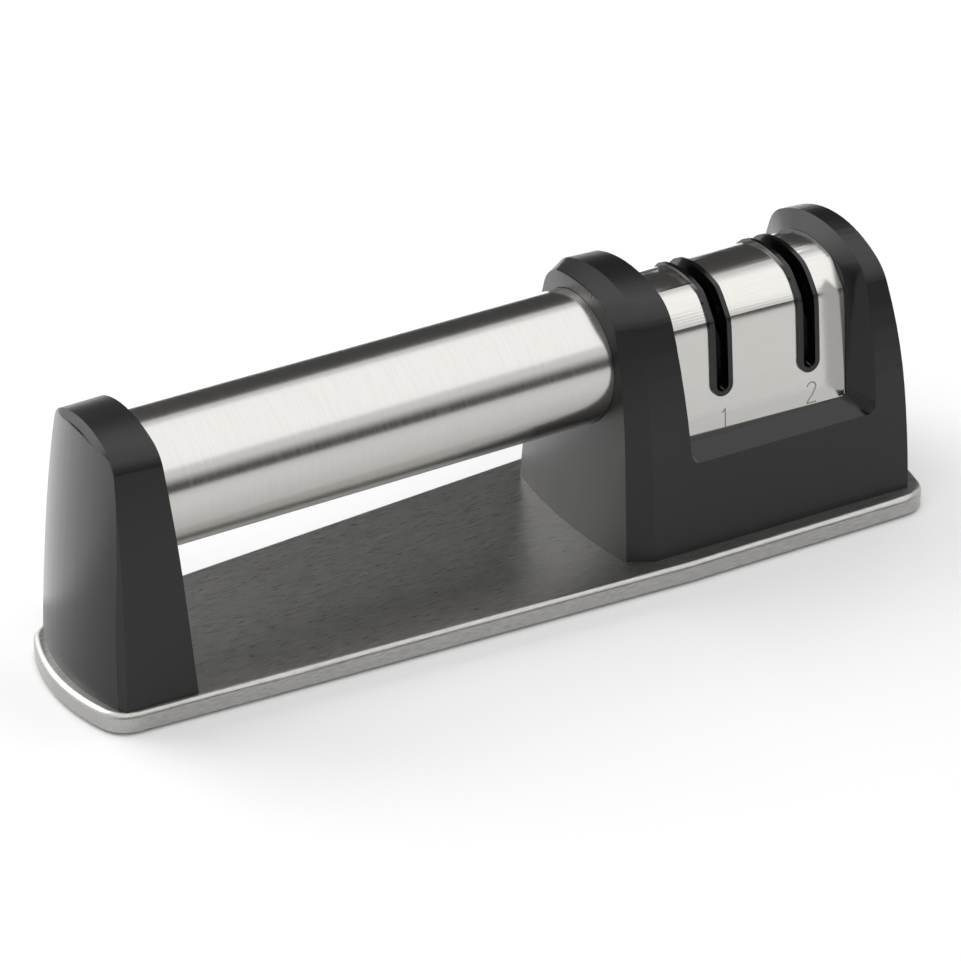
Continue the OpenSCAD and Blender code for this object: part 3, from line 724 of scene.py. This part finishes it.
class SHARPENER_OT_numbers(bpy.types.Operator):
    """The numbers 1 and 2 that are etched in the cover under the slots"""

    bl_idname = "sharpener.numbers"
    bl_label = "Numbers"

    def execute(self, context):
        sizes = context.scene.sharpener_sizes
        cover = merged_copy("steel_cover")
        skin = BVHTree.FromBMesh(cover)
        cover.free()
        for name, liner, outline, height, below in (
            ("number_1", "slot_liner_coarse", DIGIT_ONE, sizes.digit_height, ONE_BELOW),
            ("number_2", "slot_liner_fine", digit_two(), sizes.digit_height * TWO_SHARE, TWO_BELOW),
        ):
            low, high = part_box(liner)
            middle = Vector(((low.x + high.x) / 2 + NUMBER_SIDE * MM, low.z - below * MM))

            def on_panel(point, lift):
                start = Vector((point.x, low.y - FAR, point.y))
                place, normal, _, _ = skin.ray_cast(start, Vector((0, 1, 0)))
                return place + normal * lift

            line = finely([middle + Vector(p) * height for p in outline], NUMBER_STEP * MM)
            stroke = ribbon(line, sizes.digit_stroke, sizes.digit_depth, on_panel)
            add_piece(name, stroke, "polished_cover", finish="etching")
        return {"FINISHED"}


# Stage

FLOOR_HALF = 6.0
# A little light of the floor's own, which only the camera, mirrors and glass see
FLOOR_GLOW = 0.02
FLOOR_ROUGHNESS = 0.9

# Strength of the light that the world throws on the object, all round
WORLD_LEVEL = 0.56

# Lamps: place, point looked at, width and height, in metres, and share of the key lamp's power
LAMPS = (
    ("overhead softbox", (-0.1, -0.55, 1.25), (-0.1, -0.55, 0.0), (3.0, 2.3), 1.0),
    ("side softbox", (-0.5, 0.96, 0.70), (0.0, 0.0, 0.03), (1.1, 1.1), 0.75),
)

# Half the length of the long dark cards, in metres
CARD_HALF = 2.5
# How far the cards at the cover stand out from it and over the ledge, in millimetres
LEDGE_CARD = 8.0
LEDGE_LIFT = 0.1
# The bounce card's height, just over the floor, in metres
BOUNCE_Z = 0.002
# A card of one brightness has the same level at any two heights
ANY_HEIGHTS = (0.0, 1.0)

# The photograph's camera, in degrees, metres and pixels of a square picture
CAMERA_TURN = 30.746
CAMERA_RISE = 30.254
CAMERA_AWAY = 0.84625
CAMERA_AIM = (-0.000064, 0.0, 0.021667)
CAMERA_NEAR = 0.01
CAMERA_FOCAL_PX = 3923.3
PICTURE_PX = 961
SENSOR_MM = 36.0


def plane(name, start, end, material):
    """A flat rectangle between two opposite corners, square to the axis on which they agree."""
    across, up = (axis for axis in range(3) if start[axis] != end[axis])
    beside, over = Vector(start), Vector(start)
    beside[across], over[up] = end[across], end[up]
    bm = bmesh.new()
    bm.faces.new([bm.verts.new(corner) for corner in (start, beside, end, over)])
    mesh = bpy.data.meshes.new(name)
    bm.to_mesh(mesh)
    bm.free()
    card = bpy.data.objects.new(name, mesh)
    bpy.context.scene.collection.objects.link(card)
    mesh.materials.append(material)
    return card


def seen_or_mirrored(owner):
    """1 for rays from the camera, from mirrors and through glass, 0 for the light on the object."""
    rays = add_node(owner, "ShaderNodeLightPath")
    total = rays.outputs["Is Camera Ray"]
    for name in ("Is Glossy Ray", "Is Transmission Ray"):
        either = add_node(
            owner,
            "ShaderNodeMath",
            [(0, total), (1, rays.outputs[name])],
            operation="MAXIMUM",
        )
        total = either.outputs[0]
    return total


def build_floor(colour):
    """A floor of matt white paper: it keeps the shadow and fades into the white background."""
    material = new_material("white paper floor")
    glow = add_node(
        material,
        "ShaderNodeMapRange",
        [("Value", seen_or_mirrored(material))],
        {"To Min": 0.0, "To Max": FLOOR_GLOW},
    )
    set_shader(
        material,
        Base_Color=(*colour, 1.0),
        Roughness=FLOOR_ROUGHNESS,
        Specular_IOR_Level=0.0,
        Emission_Color=(1, 1, 1, 1),
        Emission_Strength=glow.outputs["Result"],
    )
    plane("floor", (-FLOOR_HALF, -FLOOR_HALF, 0), (FLOOR_HALF, FLOOR_HALF, 0), material)


def build_world():
    """White to the camera and in mirrors, a plain level of light otherwise."""
    world = bpy.data.worlds.new("studio")
    bpy.context.scene.world = world
    world.use_nodes = True
    background = world.node_tree.nodes["Background"]
    background.inputs["Color"].default_value = (1, 1, 1, 1)
    level = add_node(
        world,
        "ShaderNodeMapRange",
        [("Value", seen_or_mirrored(world))],
        {"To Min": WORLD_LEVEL, "To Max": 1.0},
    )
    world.node_tree.links.new(level.outputs["Result"], background.inputs["Strength"])


def build_lamps(power):
    """A wide softbox overhead, to the front, and a smaller one behind the handle end."""
    for name, place, target, (width, height), share in LAMPS:
        lamp = bpy.data.lights.new(name, "AREA")
        lamp.shape = "RECTANGLE"
        lamp.size, lamp.size_y = width, height
        lamp.energy = power * share
        holder = bpy.data.objects.new(name, lamp)
        holder.location = place
        look = Vector(target) - Vector(place)
        holder.rotation_euler = look.to_track_quat("-Z", "Y").to_euler()
        bpy.context.scene.collection.objects.link(holder)


def card_material(name, levels, heights):
    """A card whose brightness runs from one level to another between two heights."""
    material = new_material(name)
    place = add_node(material, "ShaderNodeTexCoord")
    parts = add_node(material, "ShaderNodeSeparateXYZ", [("Vector", place.outputs["Object"])])
    level = add_node(
        material,
        "ShaderNodeMapRange",
        [("Value", parts.outputs["Z"])],
        {
            "From Min": heights[0],
            "From Max": heights[1],
            "To Min": levels[0],
            "To Max": levels[1],
        },
    )
    set_shader(
        material,
        Base_Color=(0, 0, 0, 1),
        Roughness=1.0,
        Specular_IOR_Level=0.0,
        Emission_Color=(1, 1, 1, 1),
        Emission_Strength=level.outputs["Result"],
    )
    return material


def build_cards():
    """Cards that only mirrors see: they draw the dark and the bright bands in the steel."""
    low, high = COVER_LOW, COVER_HIGH
    over = low.z + LEDGE_LIFT * MM
    near, out = -high.y, -high.y - LEDGE_CARD * MM
    # Each card's two opposite corners in metres, its level at two heights, and those heights
    for name, start, end, levels, heights in (
        # The dark band low on the tube and the dark plastics' fronts
        (
            "front flag",
            (-CARD_HALF, -1.0, 0.02),
            (CARD_HALF, -1.0, 0.46),
            (0.07, 1.0),
            (0.22, 0.46),
        ),
        # The dark of the tray and of the cover's and the tube's upper edge
        ("back flag", (0.2, 0.9, 0.0), (CARD_HALF, 0.9, 1.22), (0.07, 0.07), ANY_HEIGHTS),
        # The sheen on the arches and on the faces towards the handle end
        ("tall card", (-2.2, 0.9, 0.3), (0.0, 0.9, 2.1), (1.7, 3.2), (0.3, 0.9)),
        # Without these two, the cover's panel mirrors the dark ledge and the dark far bevel
        ("ledge card", (low.x, out, over), (high.x, near, over), (0.85, 0.85), ANY_HEIGHTS),
        ("wall card", (high.x, near, over), (high.x, out, high.z), (0.6, 0.6), ANY_HEIGHTS),
        # The light on the faces towards the handle end, as from the floor
        (
            "bounce card",
            (-1.5, 0.036, BOUNCE_Z),
            (0.6, 0.85, BOUNCE_Z),
            (2.0, 2.0),
            ANY_HEIGHTS,
        ),
    ):
        card = plane(name, start, end, card_material(name, levels, heights))
        card.visible_camera = False
        card.visible_diffuse = False
        card.visible_shadow = False
        card.visible_transmission = False


def build_camera():
    """The camera that the photograph was taken with, worked out from its straight edges."""
    turn, rise = math.radians(CAMERA_TURN), math.radians(CAMERA_RISE)
    forward = Vector(
        (math.sin(turn) * math.cos(rise), math.cos(turn) * math.cos(rise), -math.sin(rise))
    )
    data = bpy.data.cameras.new("camera")
    data.sensor_width = SENSOR_MM
    data.lens = CAMERA_FOCAL_PX / PICTURE_PX * SENSOR_MM
    data.clip_start = CAMERA_NEAR
    camera = bpy.data.objects.new("camera", data)
    camera.location = Vector(CAMERA_AIM) - forward * CAMERA_AWAY
    camera.rotation_euler = forward.to_track_quat("-Z", "Y").to_euler()
    bpy.context.scene.collection.objects.link(camera)
    bpy.context.scene.camera = camera


class SHARPENER_OT_stage(bpy.types.Operator):
    """Floor, background, softboxes, cards and camera"""

    bl_idname = "sharpener.stage"
    bl_label = "Stage"

    def execute(self, context):
        look = context.scene.sharpener_look
        build_floor(look.floor_colour)
        build_world()
        build_lamps(look.key_power)
        build_cards()
        build_camera()
        return {"FINISHED"}


# The add-on

OPERATORS = (
    SHARPENER_OT_finish_nodes,
    SHARPENER_OT_mouldings,
    SHARPENER_OT_steelwork,
    SHARPENER_OT_numbers,
    SHARPENER_OT_stage,
)


class SHARPENER_PT_panel(bpy.types.Panel):
    """Lists the sharpener's steps"""

    bl_label = "Sharpener"
    bl_idname = "SHARPENER_PT_panel"
    bl_space_type = "VIEW_3D"
    bl_region_type = "UI"
    bl_category = "Sharpener"

    def draw(self, context):
        for operator in OPERATORS:
            self.layout.operator(operator.bl_idname)


CLASSES = (SharpenerSizes, SharpenerLook, *OPERATORS, SHARPENER_PT_panel)


def register():
    """Registers the classes and hangs the settings on the scene."""
    for cls in CLASSES:
        bpy.utils.register_class(cls)
    bpy.types.Scene.sharpener_sizes = bpy.props.PointerProperty(type=SharpenerSizes)
    bpy.types.Scene.sharpener_look = bpy.props.PointerProperty(type=SharpenerLook)


def unregister():
    """Takes the settings and the classes away again."""
    del bpy.types.Scene.sharpener_look
    del bpy.types.Scene.sharpener_sizes
    for cls in reversed(CLASSES):
        bpy.utils.unregister_class(cls)


def main():
    """Builds the dressed part and its stage."""
    register()
    bpy.context.scene.view_settings.view_transform = "Standard"
    bpy.ops.sharpener.finish_nodes()
    bpy.ops.sharpener.mouldings()
    bpy.ops.sharpener.steelwork()
    bpy.ops.sharpener.numbers()
    bpy.ops.sharpener.stage()


if __name__ == "__main__":
    main()
